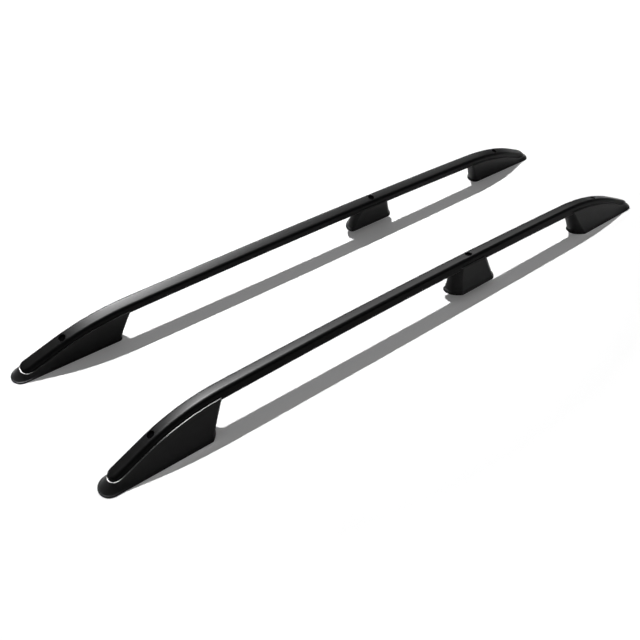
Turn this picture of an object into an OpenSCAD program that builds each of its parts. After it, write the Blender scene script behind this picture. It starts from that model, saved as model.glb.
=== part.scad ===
// Pair of roof rails: two mirrored bent tubes, each on three moulded feet.
// Each rail is drawn from its front nose (x = 0) to its rear tip, with +Y towards
// the other rail and Z = 0 on the surface that the end feet stand on.

/* [Pair] */
// Length of one rail from its nose to its tip
overall_length = 1745; // [1700:5:2000]
// Distance between the base lines of the two rails as they lie
pair_spacing = 378; // [200:1:1200]
// How far the left rail lies behind the right one
stagger = 49; // [0:1:100]
// Angle at which each bar leans towards the other rail
lean = 11.4; // [6:0.1:13]

/* [Bar] */
// Width of the tube
bar_w = 33; // [30:0.5:36]
// Height of the tube
bar_h = 30; // [28:0.5:32]
// Radius of the tube's four long edges
bar_r = 7; // [5:0.5:9]
// Wall of the tube
bar_wall = 2.2; // [1.6:0.1:3]
// Height of the tube's top line at the crown, in its leaning plane
crown_h = 115.6; // [112:0.2:125]
// Distance from the nose to the crown
crown_x = 826; // [780:2:880]
// Radius of the long arch, along the top line
arch_radius = 21000; // [15000:500:40000]
// Distance from the nose to the start of the front bend
front_bend_x = 291.5; // [285:0.5:310]
// Radius of the front bend, along the top line
front_bend_radius = 465; // [440:5:480]
// Slope of the front leg
front_leg_angle = 24.6; // [24:0.1:26]
// Distance from the tip to the start of the rear bend
rear_bend_inset = 329; // [320:1:340]
// Radius of the rear bend, along the top line
rear_bend_radius = 604; // [580:4:620]
// Slope of the rear leg
rear_leg_angle = 24.4; // [24:0.1:26]
// Distance from the nose to the tube's front end
bar_front_inset = 25.5; // [24:0.5:36]
// Distance from the tip to the tube's rear end
bar_rear_inset = 26; // [25:0.5:36]

/* [Fixings] */
// Diameter of the access holes in the tube's top
access_d = 18; // [14:0.5:18]
// Distance from the nose to the front access hole
front_hole_x = 130; // [124:1:144]
// Distance from the nose to the middle access hole
middle_hole_x = 1024.5; // [980:0.5:1080]
// Distance from the tip to the rear access hole
rear_hole_inset = 197.5; // [188:0.5:208]
// Depth of the plugs' rims below the tube's top
plug_sink = 0.5; // [0.3:0.1:1]
// Clearance between a plug and its hole
plug_clear = 0.2; // [0.1:0.05:0.4]
// Depth of the plugs' cups
plug_h = 6; // [4.5:0.5:8]
// Wall of the plugs
plug_wall = 1.4; // [1:0.1:2]
// How far a plug's snap bead reaches under the tube's top wall
plug_bead = 0.5; // [0.3:0.1:0.8]
// Shank diameter of the clamp screws
screw_d = 6; // [5:0.5:6]
// Length of the clamp screws under the head
screw_len = 14; // [12:1:15]
// Head diameter of the clamp screws
screw_head_d = 10.5; // [9:0.5:12]
// Height of the heads of the clamp screws
screw_head_h = 4; // [3:0.5:5]
// Clearance round a clamp screw in the tube and its washer
screw_clear = 0.3; // [0.2:0.1:0.5]
// Outer diameter of the washers
washer_d = 14; // [13:0.5:16]
// Thickness of the washers
washer_t = 1.5; // [1:0.1:2]
// Outer diameter of the nut inserts under the tube
nut_insert_d = 9; // [8:0.5:10]
// Length of the nut inserts under the tube
nut_insert_len = 12; // [10:1:14]
// Bore of the roof inserts, the tapping size of an M8 thread
roof_bore_d = 6.8; // [6.8:0.1:8.4]
// Outer diameter of the roof inserts
roof_insert_d = 12; // [11:0.5:14]
// Length of the roof inserts above the gaskets, through which they reach
roof_insert_len = 16; // [14:1:20]
// Clearance round the roof inserts in the gaskets
gasket_hole_clear = 0.3; // [0.1:0.1:0.6]

/* [Feet] */
// Thickness of the gaskets
gasket_t = 3; // [2:0.5:4]
// How far a gasket shows past its foot
gasket_rim = 0.8; // [0.4:0.1:1.5]
// Height of the middle gasket's underside above the end feet's base
middle_rise = 22; // [18:1:26]
// Width of the ledge round the tube
ledge = 3; // [2:0.25:4]
// Clearance between the tube and its seats
seat_clear = 0.2; // [0.1:0.05:0.4]
// Height of tube that shows above the ledge at the end of a leg
show_leg = 14.5; // [13:0.5:16]
// Height of tube that shows above the ledge at a foot's inner end
show_inner = 18.5; // [17:0.5:20]
// Height of the ledge round the tube's ends
ledge_end_h = 21; // [20:0.5:24]
// How far the foot walls curve inwards at half height
wall_hollow = 2; // [0:0.25:3]
// Height of the rim round the bottom of each foot
rim_h = 6; // [4:0.5:8]
// How far that rim stands out along the walls
rim_side = 1; // [0.5:0.25:1.5]
// How far that rim stands out at a foot's inner end
rim_end = 2.5; // [2:0.25:4]
// Thickness of the feet's walls
foot_wall = 3; // [2.5:0.25:4]
// Thickness of a foot's floor under the tube's cut end
floor_t = 4; // [3:0.5:5]
// Thickness of the ribs inside the feet
rib_t = 2.5; // [2:0.25:3]
// Spacing of the ribs inside the feet
rib_pitch = 32; // [28:1:40]
// Clearance round an insert in its boss
insert_clear = 0.05; // [0.02:0.01:0.1]
// Diameter of the bosses round the roof inserts
roof_boss_d = 20; // [18:1:22]
// Diameter of the bosses round the nut inserts
nut_boss_d = 15; // [14:1:17]

/* [Front foot] */
// Distance from the base line to the outer edge of the base
front_out = 25; // [21:0.5:27]
// Distance from the base line to the inner edge of the base
front_in = 26; // [21:0.5:27]
// Distance from the nose to the base's rear corner, on the outer side
front_base_end = 241.5; // [234:0.5:256]
// Distance from the nose to the ledge's rear corner
front_top_end = 283; // [276:0.5:290]
// How much further the inner end reaches on its inner side
front_skew = 6; // [0:1:12]
// How far that end bows out between its corners
front_bow = 12; // [8:1:20]
// How far the ledge bows out there
front_top_bow = 12; // [8:1:16]

/* [Middle foot] */
// Distance from the base line to the outer edge of the base
middle_out = 19.5; // [18:0.5:22]
// Distance from the base line to the inner edge of the base
middle_in = 28; // [26:0.5:32]
// Distance from the access hole forwards to the base's front corner
middle_base_front = 40; // [36:1:44]
// How much further forwards the front end reaches on its inner side
middle_skew = 17; // [0:1:20]
// How much further forwards the rear end lies on its inner side
middle_rear_skew = 5; // [0:1:12]
// How far both ends bow out between their corners
middle_bow = 16; // [12:1:24]
// How far the ledge bows out at both ends
middle_top_bow = 17; // [12:1:19]
// Distance from the access hole back to the base's rear corner
middle_base_rear = 75; // [70:1:84]
// Distance from the access hole forwards to the ledge's front corner
middle_top_front = 37; // [34:1:42]
// Distance from the access hole back to the ledge's rear corner
middle_top_rear = 43; // [40:1:50]

/* [Rear foot] */
// Distance from the base line to the outer edge of the base
rear_out = 25; // [22:0.5:28]
// Distance from the base line to the inner edge of the base
rear_in = 26.5; // [24:0.5:29]
// Distance from the tip to the base's front corner, on the outer side
rear_base_end = 242; // [230:0.5:248]
// Distance from the tip to the ledge's front corner
rear_top_end = 308.5; // [298:0.5:314]
// How much further the inner end reaches on its inner side
rear_skew = 14; // [0:1:18]
// How far that end bows out between its corners
rear_bow = 23; // [14:1:26]
// How far the ledge bows out there
rear_top_bow = 10; // [8:1:16]

/* [Hidden] */
// Steps along a foot's wall, round an end of it, and round the tube's ends
wall_steps = 8;
end_steps = 10;
dome_steps = 8;
// Levels of a foot's outer and inner walls
wall_levels = 3;
inner_levels = 2;
// Steps of the tube's bends and arch, and of its long edges
bend_steps = 7;
arch_steps = 6;
edge_steps = 3;
inner_edge_steps = 1;
hole_facets = 48;
hole_turn = 20;
// Half length of the straight seat along the tube at each access hole
seat_half = 12;
// Least distance between two stations along the tube
station_gap = 4;
// Softness of the ledge's turn to level at the tube's ends
ledge_soft = 3;
// Length by which a cutting shape passes the face that it cuts
pass = 1;
// Room above a screw or bolt end in the foot
end_room = 2;
// Recess of the nut inserts below the tube's seat
nut_sink = 0.3;
// Depth and width across the flats' corners of the clamp screws' sockets
socket_depth = 2.5;
socket_d = 5.7;

rear_hole_x = overall_length - rear_hole_inset;
rear_bend_x = overall_length - rear_bend_inset;

// Angles and centres of the tube's three arcs, in its leaning plane
front_join = asin((crown_x - front_bend_x) / arch_radius);
rear_join = asin((rear_bend_x - crown_x) / arch_radius);
arch_centre = [crown_x, crown_h - arch_radius];
front_centre = arch_centre + (arch_radius - front_bend_radius) * [-sin(front_join), cos(front_join)];
rear_centre = arch_centre + (arch_radius - rear_bend_radius) * [sin(rear_join), cos(rear_join)];
front_leg_start = front_centre + front_bend_radius * [-sin(front_leg_angle), cos(front_leg_angle)];
rear_leg_start = rear_centre + rear_bend_radius * [sin(rear_leg_angle), cos(rear_leg_angle)];

// Where the round ends of the tube are centred
front_dome_x = bar_front_inset + bar_w / 2 * cos(front_leg_angle) - bar_r * sin(front_leg_angle);
rear_dome_x = overall_length - bar_rear_inset - bar_w / 2 * cos(rear_leg_angle) + bar_r * sin(rear_leg_angle);

// Height at which the tube's ends are cut level, to lie inside the feet
cut_h = gasket_t + floor_t;
middle_base_z = middle_rise + gasket_t;
ledge_half = bar_w / 2 + ledge;

// Slope of the top line at x, positive where the tube rises towards the rear
function slope(x) =
    x < front_leg_start[0] ? front_leg_angle
    : x < front_bend_x ? asin((front_centre[0] - x) / front_bend_radius)
    : x < rear_bend_x ? asin((crown_x - x) / arch_radius)
    : x < rear_leg_start[0] ? asin((rear_centre[0] - x) / rear_bend_radius)
    : -rear_leg_angle;

// Height of the top line at x, in the leaning plane
function top_h(x) =
    x < front_leg_start[0] ? front_leg_start[1] - (front_leg_start[0] - x) * tan(front_leg_angle)
    : x < front_bend_x ? front_centre[1] + front_bend_radius * cos(slope(x))
    : x < rear_bend_x ? arch_centre[1] + arch_radius * cos(slope(x))
    : x < rear_leg_start[0] ? rear_centre[1] + rear_bend_radius * cos(slope(x))
    : rear_leg_start[1] - (x - rear_leg_start[0]) * tan(rear_leg_angle);

// A point of the leaning plane, given by x, the distance across and the height
function leaned(x, across, h) = [
    x,
    across * cos(lean) + h * sin(lean),
    h * cos(lean) - across * sin(lean)
];

// A point near the tube, measured from its top line at x: along it, across it and up from it
function by_tube(x, along, across, up) = leaned(
    x + along * cos(slope(x)) - up * sin(slope(x)),
    across,
    top_h(x) + along * sin(slope(x)) + up * cos(slope(x))
);

function mix(a, b, s) = a + (b - a) * s;

function evenly(a, b, steps) = [for (i = [0:steps]) mix(a, b, i / steps)];

// The larger of two heights, rounded where they cross
function soft_max(a, b, soft) = (a + b + sqrt((a - b) * (a - b) + soft * soft)) / 2;

// Stations with a straight stretch of tube put in round a hole
function with_seat(stations, hole_x) = concat(
    [for (x = stations) if (x < hole_x - seat_half - station_gap) x],
    [hole_x - seat_half, hole_x + seat_half],
    [for (x = stations) if (x > hole_x + seat_half + station_gap) x]
);

// Stations along the whole tube, closer together in its bends
plain_stations = concat(
    [front_dome_x],
    evenly(front_leg_start[0], front_bend_x, bend_steps),
    [for (i = [1:arch_steps]) mix(front_bend_x, rear_bend_x, i / arch_steps)],
    [for (i = [1:bend_steps]) mix(rear_bend_x, rear_leg_start[0], i / bend_steps)],
    [rear_dome_x]
);
tube_stations = with_seat(with_seat(with_seat(plain_stations, front_hole_x), middle_hole_x), rear_hole_x);

// The stations that reach just past a stretch of the tube
function stations_over(a, b) = [
    for (i = [0:len(tube_stations) - 1])
        if ((i == len(tube_stations) - 1 || tube_stations[i + 1] > a) && (i == 0 || tube_stations[i - 1] < b))
            tube_stations[i]
];

// Right half of the tube's section, from the middle of its bottom up to the middle of its top
function half_section(grow, steps) =
    let (w = bar_w / 2 + grow, r = bar_r + grow, bottom = -bar_h - grow, top = grow)
    concat(
        [[0, bottom]],
        [for (a = evenly(-90, 0, steps)) [w - r + r * cos(a), bottom + r + r * sin(a)]],
        [for (a = evenly(0, 90, steps)) [w - r + r * cos(a), top - r + r * sin(a)]],
        [[0, top]]
    );

// A run of the tube through the given stations, larger all round by grow.
// Its ends are flat, or round like the tube's own ends.
module tube(stations, grow, steps, round_front, round_rear) {
    half = half_section(grow, steps);
    top_point = len(half) - 1;
    ring_len = 2 * top_point;
    last = len(stations) - 1;
    inner_points = top_point - 1;
    function ring(x) = concat(
        [for (p = half) by_tube(x, 0, p[0], p[1])],
        [for (j = [top_point - 1:-1:1]) by_tube(x, 0, -half[j][0], half[j][1])]
    );
    function dome(x, way) = [
        for (k = [1:dome_steps - 1], j = [1:top_point - 1])
            let (a = 180 * k / dome_steps)
            by_tube(x, way * half[j][0] * sin(a), half[j][0] * cos(a), half[j][1])
    ];
    ring_points = [for (x = stations) each ring(x)];
    front_points = round_front ? dome(stations[0], -1) : [];
    rear_points = round_rear ? dome(stations[last], 1) : [];
    function at(i, j) = i * ring_len + j % ring_len;
    // Point j of the dome's meridian k, which starts and ends on the tube's own ring
    function on_dome(i, start, k, j) =
        j == 0 ? at(i, 0)
        : j == top_point ? at(i, top_point)
        : k == 0 ? at(i, j)
        : k == dome_steps ? at(i, ring_len - j)
        : start + (k - 1) * inner_points + j - 1;
    function dome_faces(i, start) = [
        for (k = [0:dome_steps - 1], j = [0:top_point - 1])
            j == 0 ? [on_dome(i, start, k, 0), on_dome(i, start, k, 1), on_dome(i, start, k + 1, 1)]
            : j == top_point - 1
                ? [on_dome(i, start, k, j), on_dome(i, start, k, j + 1), on_dome(i, start, k + 1, j)]
            : [
                on_dome(i, start, k, j), on_dome(i, start, k, j + 1),
                on_dome(i, start, k + 1, j + 1), on_dome(i, start, k + 1, j)
            ]
    ];
    function turned(faces) = [for (f = faces) [for (i = [len(f) - 1:-1:0]) f[i]]];
    front_start = len(ring_points);
    rear_start = front_start + len(front_points);
    sides = [
        for (i = [0:last - 1], j = [0:ring_len - 1])
            [at(i, j), at(i + 1, j), at(i + 1, j + 1), at(i, j + 1)]
    ];
    function flat_cap(i) = [[for (j = [0:ring_len - 1]) at(i, j)]];
    front_cap = round_front ? dome_faces(0, front_start) : flat_cap(0);
    rear_cap = turned(round_rear ? dome_faces(last, rear_start) : flat_cap(last));
    polyhedron(
        points = concat(ring_points, front_points, rear_points),
        faces = concat(sides, front_cap, rear_cap),
        convexity = 6
    );
}

// Everything below the height at which the tube's ends are cut level
module below(h) {
    translate([-pass, -bar_w * 2, h - bar_h * 2]) cube([overall_length + 2 * pass, bar_w * 4, bar_h * 2]);
}

// Where each rail lies
module left() {
    translate([(stagger - overall_length) / 2, -pair_spacing / 2, 0]) children();
}

module right() {
    translate([(-stagger - overall_length) / 2, pair_spacing / 2, 0]) mirror([0, 1, 0]) children();
}

// Puts children on the tube's top surface at x, with Z square to it
module on_top(x) {
    rotate([-lean, 0, 0]) translate([x, 0, top_h(x)]) rotate([0, -slope(x), 0]) children();
}

// A straight round form or hole, turned so that it starts off the line along the middle of the tube
module round_rod(d, h) {
    rotate([0, 0, hole_turn]) cylinder(d = d, h = h, $fn = hole_facets);
}

// Height of a foot's ledge at x, in the leaning plane
function ledge_h(x) = soft_max(
    top_h(x) - mix(show_inner, show_leg, abs(slope(x)) / front_leg_angle) / cos(slope(x)),
    ledge_end_h,
    ledge_soft
);

// One end of an outline, bowed forwards or back. It runs from the corner (x0, y0) to (x1, y1).
// A corner's power is 1 where it is rounded and 2 where it is sharp.
function end_curve(x0, y0, x1, y1, bow, power0, power1) = [
    for (a = evenly(0, 180, end_steps))
        let (s = (1 - cos(a)) / 2)
        [mix(x0, x1, s) + bow * pow(sin(a), a < 90 ? power0 : power1), mix(y0, y1, s)]
];

// Points between two corners
function wall_points(x0, x1, y) = [for (i = [1:wall_steps - 1]) [mix(x0, x1, i / wall_steps), y]];

// Closed outline of a foot. Each end is its outer corner's x, its inner corner's x, its bow
// and its outer corner's power.
function outline(front, rear, out, in) = concat(
    end_curve(front[0], -out, front[1], in, -front[2], front[3], 1),
    wall_points(front[1], rear[1], in),
    end_curve(rear[1], in, rear[0], -out, rear[2], 1, rear[3]),
    wall_points(rear[0], front[0], -out)
);

// Outlines of the feet at their base. side widens the long sides and the rounded noses,
// and end the bowed inner ends.
front_nose_r = (front_out + front_in) / 2;
rear_nose_r = (rear_out + rear_in) / 2;
front_nose_x = gasket_rim + rim_side + front_nose_r;
rear_nose_x = overall_length - gasket_rim - rim_side - rear_nose_r;
middle_front_x = middle_hole_x - middle_base_front;
middle_rear_x = middle_hole_x + middle_base_rear;
rear_base_x = overall_length - rear_base_end;

// Where the ledges turn round the tube's ends, and where the rear foot's ledge starts
front_ledge_x = bar_front_inset + bar_w / 2;
rear_ledge_x = overall_length - bar_rear_inset - bar_w / 2;
rear_top_x = overall_length - rear_top_end;

function front_outline(side, end) = outline(
    [front_nose_x, front_nose_x, front_nose_r + side, 1],
    [front_base_end, front_base_end + front_skew, front_bow + end, 2],
    front_out + side, front_in + side
);

function middle_outline(side, end) = outline(
    [middle_front_x, middle_front_x - middle_skew, middle_bow + end, 2],
    [middle_rear_x, middle_rear_x - middle_rear_skew, middle_bow + end, 2],
    middle_out + side, middle_in + side
);

function rear_outline(side, end) = outline(
    [rear_base_x, rear_base_x - rear_skew, rear_bow + end, 2],
    [rear_nose_x, rear_nose_x, rear_nose_r + side, 1],
    rear_out + side, rear_in + side
);

// Outlines of the feet at their ledge, inset by the given amount
function front_ledge(inset) = outline(
    [front_ledge_x, front_ledge_x, ledge_half - inset, 1],
    [front_top_end, front_top_end, front_top_bow - inset, 2],
    ledge_half - inset, ledge_half - inset
);

function middle_ledge(inset) = outline(
    [middle_hole_x - middle_top_front, middle_hole_x - middle_top_front, middle_top_bow - inset, 2],
    [middle_hole_x + middle_top_rear, middle_hole_x + middle_top_rear, middle_top_bow - inset, 2],
    ledge_half - inset, ledge_half - inset
);

function rear_ledge(inset) = outline(
    [rear_top_x, rear_top_x, rear_top_bow - inset, 2],
    [rear_ledge_x, rear_ledge_x, ledge_half - inset, 1],
    ledge_half - inset, ledge_half - inset
);

// Solid between a base outline at height base_z and a ledge outline that follows the tube.
// Each level is [share of the height, share of the rim], and the rim outline is the base's too.
module loft(base, rim, ledge_line, base_z, levels) {
    n = len(base);
    sides_y = [for (p = base) p[1]];
    middle_y = (min(sides_y) + max(sides_y)) / 2;
    half_y = (max(sides_y) - min(sides_y)) / 2;
    upper = [for (p = ledge_line) leaned(p[0], p[1], ledge_h(p[0]))];
    function at_level(i, s, e) =
        mix([base[i][0], base[i][1], base_z], upper[i], s)
        + e * [rim[i][0] - base[i][0], rim[i][1] - base[i][1], 0]
        - [0, wall_hollow * (base[i][1] - middle_y) / half_y * 4 * s * (1 - s), 0];
    points = [for (v = levels) each [for (i = [0:n - 1]) at_level(i, v[0], v[1])]];
    last = len(levels) - 1;
    apex = end_steps / 2;
    // Points on the two long sides, counted from the front end's apex
    function inner(k, j) = k * n + (apex + j) % n;
    function outer(k, j) = k * n + (apex - j + n) % n;
    walls = [
        for (k = [0:last - 1], i = [0:n - 1])
            [k * n + i, k * n + (i + 1) % n, (k + 1) * n + (i + 1) % n, (k + 1) * n + i]
    ];
    // Strips across the top and the bottom, each with a triangle at both ends
    top = [
        for (j = [0:n / 2 - 1])
            j == 0 ? [inner(last, 0), inner(last, 1), outer(last, 1)]
            : j == n / 2 - 1 ? [inner(last, j), inner(last, j + 1), outer(last, j)]
            : [inner(last, j), inner(last, j + 1), outer(last, j + 1), outer(last, j)]
    ];
    bottom = [
        for (j = [0:n / 2 - 1])
            j == 0 ? [inner(0, 0), outer(0, 1), inner(0, 1)]
            : j == n / 2 - 1 ? [inner(0, j), outer(0, j), inner(0, j + 1)]
            : [inner(0, j), outer(0, j), outer(0, j + 1), inner(0, j + 1)]
    ];
    polyhedron(
        points = points,
        faces = concat(walls, top, bottom),
        convexity = 6
    );
}

// A foot's outer form, with a rim round its bottom
module foot_form(base, rim, ledge_line, base_z) {
    height = max([for (p = ledge_line) ledge_h(p[0])]) - base_z;
    turn = rim_h / height;
    loft(base, rim, ledge_line, base_z, concat(
        [[0, 1], [turn / 3, 1]],
        [for (k = [0:wall_levels]) [mix(turn, 1, k / wall_levels), 0]]
    ));
}

// The hollow under a foot, round the tube's seat, its ribs and its bosses
module foot_hollow(base, ledge_line, base_z, stations, hole_x, insert_y, rib_from, rib_to) {
    difference() {
        loft(base, base, ledge_line, base_z - pass, [for (k = [0:inner_levels]) [k / inner_levels, 0]]);
        tube(stations, seat_clear + foot_wall, inner_edge_steps, false, false);
        for (x = [rib_from:rib_pitch:rib_to])
            translate([x - rib_t / 2, -bar_w * 2, base_z - 2 * pass]) cube([rib_t, bar_w * 4, crown_h]);
        translate([hole_x, insert_y, base_z - 2 * pass])
            round_rod(roof_boss_d, roof_insert_len + end_room + foot_wall + 2 * pass);
        on_top(hole_x) translate([0, 0, -bar_h - nut_insert_len - end_room - foot_wall])
            round_rod(nut_boss_d, nut_insert_len + end_room + foot_wall);
    }
}

// A foot: its form, less the tube's seat, the hollow that children draw, and the inserts' holes
module foot(base, rim, ledge_line, base_z, stations, round_front, round_rear, hole_x, insert_y) {
    color([0.10, 0.10, 0.11]) difference() {
        foot_form(base, rim, ledge_line, base_z);
        difference() {
            tube(stations, seat_clear, edge_steps, round_front, round_rear);
            below(cut_h - seat_clear);
        }
        children();
        translate([hole_x, insert_y, base_z - pass])
            round_rod(roof_insert_d + 2 * insert_clear, roof_insert_len + end_room + pass);
        on_top(hole_x) translate([0, 0, -bar_h - seat_clear - nut_sink - nut_insert_len - end_room])
            round_rod(nut_insert_d + 2 * insert_clear, nut_insert_len + end_room + pass);
    }
}

// Where the hollows of the end feet stop, under the tube's legs
front_hollow_x = front_dome_x + 46;
rear_hollow_x = rear_dome_x - 46;
hollow_bow = 8;
front_insert_y = (front_in - front_out) / 2;
middle_insert_y = (middle_in - middle_out) / 2;
rear_insert_y = (rear_in - rear_out) / 2;

module bar() {
    color([0.07, 0.07, 0.08]) difference() {
        tube(tube_stations, 0, edge_steps, true, true);
        tube(tube_stations, -bar_wall, inner_edge_steps, true, true);
        below(cut_h);
        for (x = [front_hole_x, middle_hole_x, rear_hole_x]) on_top(x) {
            translate([0, 0, -bar_h / 2]) round_rod(access_d, bar_h);
            translate([0, 0, -bar_h * 1.5]) round_rod(screw_d + 2 * screw_clear, bar_h);
        }
    }
}

module front_foot() {
    hollow_stations = stations_over(front_hollow_x - hollow_bow - bar_h, front_top_end + front_top_bow);
    foot(
        front_outline(0, 0), front_outline(rim_side, rim_end), front_ledge(0), gasket_t,
        stations_over(0, front_top_end + front_top_bow), true, false, front_hole_x, front_insert_y
    ) foot_hollow(
        outline(
            [front_hollow_x, front_hollow_x, hollow_bow, 1],
            [front_base_end, front_base_end + front_skew, front_bow - foot_wall, 2],
            front_out - foot_wall, front_in - foot_wall
        ),
        outline(
            [front_hollow_x, front_hollow_x, hollow_bow, 1],
            [front_top_end, front_top_end, front_top_bow - foot_wall, 2],
            ledge_half - foot_wall, ledge_half - foot_wall
        ),
        gasket_t, hollow_stations, front_hole_x, front_insert_y,
        front_hollow_x + rib_pitch / 2, front_base_end
    );
}

module middle_foot() {
    foot_stations = stations_over(
        middle_hole_x - middle_top_front - middle_top_bow, middle_hole_x + middle_top_rear + middle_top_bow
    );
    foot(
        middle_outline(0, 0), middle_outline(rim_side, rim_end), middle_ledge(0), middle_base_z,
        foot_stations, false, false, middle_hole_x, middle_insert_y
    ) foot_hollow(
        middle_outline(-foot_wall, -foot_wall), middle_ledge(foot_wall),
        middle_base_z, foot_stations, middle_hole_x, middle_insert_y,
        middle_hole_x - rib_pitch, middle_rear_x
    );
}

module rear_foot() {
    hollow_stations = stations_over(rear_top_x - rear_top_bow, rear_hollow_x + hollow_bow + bar_h);
    foot(
        rear_outline(0, 0), rear_outline(rim_side, rim_end), rear_ledge(0), gasket_t,
        stations_over(rear_top_x - rear_top_bow, overall_length), false, true, rear_hole_x, rear_insert_y
    ) foot_hollow(
        outline(
            [rear_base_x, rear_base_x - rear_skew, rear_bow - foot_wall, 2],
            [rear_hollow_x, rear_hollow_x, hollow_bow, 1],
            rear_out - foot_wall, rear_in - foot_wall
        ),
        outline(
            [rear_top_x, rear_top_x, rear_top_bow - foot_wall, 2],
            [rear_hollow_x, rear_hollow_x, hollow_bow, 1],
            ledge_half - foot_wall, ledge_half - foot_wall
        ),
        gasket_t, hollow_stations, rear_hole_x, rear_insert_y,
        rear_base_x + rib_pitch / 4, rear_hollow_x - rib_pitch / 2
    );
}

// A gasket under a foot, with a hole for the roof insert
module gasket(shape, base_z, hole_x, insert_y) {
    color([0.16, 0.16, 0.16]) translate([0, 0, base_z]) difference() {
        linear_extrude(gasket_t) polygon(shape);
        translate([hole_x, insert_y, -pass])
            round_rod(roof_insert_d + 2 * gasket_hole_clear, gasket_t + 2 * pass);
    }
}

module front_gasket() {
    gasket(front_outline(rim_side + gasket_rim, rim_end + gasket_rim), 0, front_hole_x, front_insert_y);
}

module middle_gasket() {
    shape = middle_outline(rim_side + gasket_rim, rim_end + gasket_rim);
    gasket(shape, middle_rise, middle_hole_x, middle_insert_y);
}

module rear_gasket() {
    gasket(rear_outline(rim_side + gasket_rim, rim_end + gasket_rim), 0, rear_hole_x, rear_insert_y);
}

// A cup-shaped plug in an access hole, with a bead that snaps under the tube's top wall
module plug(x) {
    plug_r = access_d / 2 - plug_clear;
    bead_top = bar_wall + seat_clear;
    color([0.13, 0.13, 0.14]) on_top(x) rotate_extrude($fn = hole_facets) polygon([
        [0, -plug_h + plug_wall],
        [plug_r - plug_wall, -plug_h + plug_wall],
        [plug_r - plug_wall, -plug_sink],
        [plug_r, -plug_sink],
        [plug_r, -bead_top],
        [plug_r + plug_clear + plug_bead, -bead_top],
        [plug_r, -bead_top - 2 * plug_bead],
        [plug_r, -plug_h],
        [0, -plug_h]
    ]);
}

// A threaded insert that takes a roof bolt from below. It stands on the roof through the
// gasket, so that the bolt clamps metal against metal.
module roof_insert(x, y, base_z) {
    height = gasket_t + roof_insert_len;
    color([0.72, 0.60, 0.34]) translate([x, y, base_z]) difference() {
        round_rod(roof_insert_d, height);
        translate([0, 0, -pass]) round_rod(roof_bore_d, height + 2 * pass);
    }
}

module front_roof_insert() {
    roof_insert(front_hole_x, front_insert_y, 0);
}

module middle_roof_insert() {
    roof_insert(middle_hole_x, middle_insert_y, middle_rise);
}

module rear_roof_insert() {
    roof_insert(rear_hole_x, rear_insert_y, 0);
}

hole_places = [front_hole_x, middle_hole_x, rear_hole_x];
washer_z = -bar_h + bar_wall;

module clamp_screws() {
    head_z = washer_z + washer_t;
    color([0.55, 0.56, 0.58]) for (x = hole_places) on_top(x) translate([0, 0, head_z]) difference() {
        union() {
            round_rod(screw_head_d, screw_head_h);
            translate([0, 0, -screw_len]) round_rod(screw_d, screw_len);
        }
        translate([0, 0, screw_head_h - socket_depth])
            cylinder(d = socket_d, h = socket_depth + pass, $fn = 6);
    }
}

module washers() {
    color([0.62, 0.63, 0.65]) for (x = hole_places) on_top(x) translate([0, 0, washer_z]) difference() {
        round_rod(washer_d, washer_t);
        translate([0, 0, -pass]) round_rod(screw_d + 2 * screw_clear, washer_t + 2 * pass);
    }
}

module nut_inserts() {
    base_z = -bar_h - seat_clear - nut_sink - nut_insert_len;
    color([0.72, 0.60, 0.34]) for (x = hole_places) on_top(x) translate([0, 0, base_z]) difference() {
        round_rod(nut_insert_d, nut_insert_len);
        translate([0, 0, -pass]) round_rod(screw_d + 2 * insert_clear, nut_insert_len + 2 * pass);
    }
}

left() bar();  // left_bar
left() front_foot();  // left_front_foot
left() middle_foot();  // left_middle_foot
left() rear_foot();  // left_rear_foot
left() front_gasket();  // left_front_gasket
left() middle_gasket();  // left_middle_gasket
left() rear_gasket();  // left_rear_gasket
left() plug(front_hole_x);  // left_front_plug
left() plug(middle_hole_x);  // left_middle_plug
left() plug(rear_hole_x);  // left_rear_plug
left() front_roof_insert();  // left_front_roof_insert
left() middle_roof_insert();  // left_middle_roof_insert
left() rear_roof_insert();  // left_rear_roof_insert
left() clamp_screws();  // left_clamp_screws
left() washers();  // left_washers
left() nut_inserts();  // left_nut_inserts
right() bar();  // right_bar
right() front_foot();  // right_front_foot
right() middle_foot();  // right_middle_foot
right() rear_foot();  // right_rear_foot
right() front_gasket();  // right_front_gasket
right() middle_gasket();  // right_middle_gasket
right() rear_gasket();  // right_rear_gasket
right() plug(front_hole_x);  // right_front_plug
right() plug(middle_hole_x);  // right_middle_plug
right() plug(rear_hole_x);  // right_rear_plug
right() front_roof_insert();  // right_front_roof_insert
right() middle_roof_insert();  // right_middle_roof_insert
right() rear_roof_insert();  // right_rear_roof_insert
right() clamp_screws();  // right_clamp_screws
right() washers();  // right_washers
right() nut_inserts();  // right_nut_inserts
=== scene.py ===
"""A mirrored pair of black roof rails on a plain white floor. Shapes are worked out in
millimetres, in the left rail's own frame, and placed in metres."""
from math import asin, cos, pi, radians, sin, sqrt, tan
from typing import NamedTuple

import bpy
from mathutils import Matrix, Vector

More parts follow.
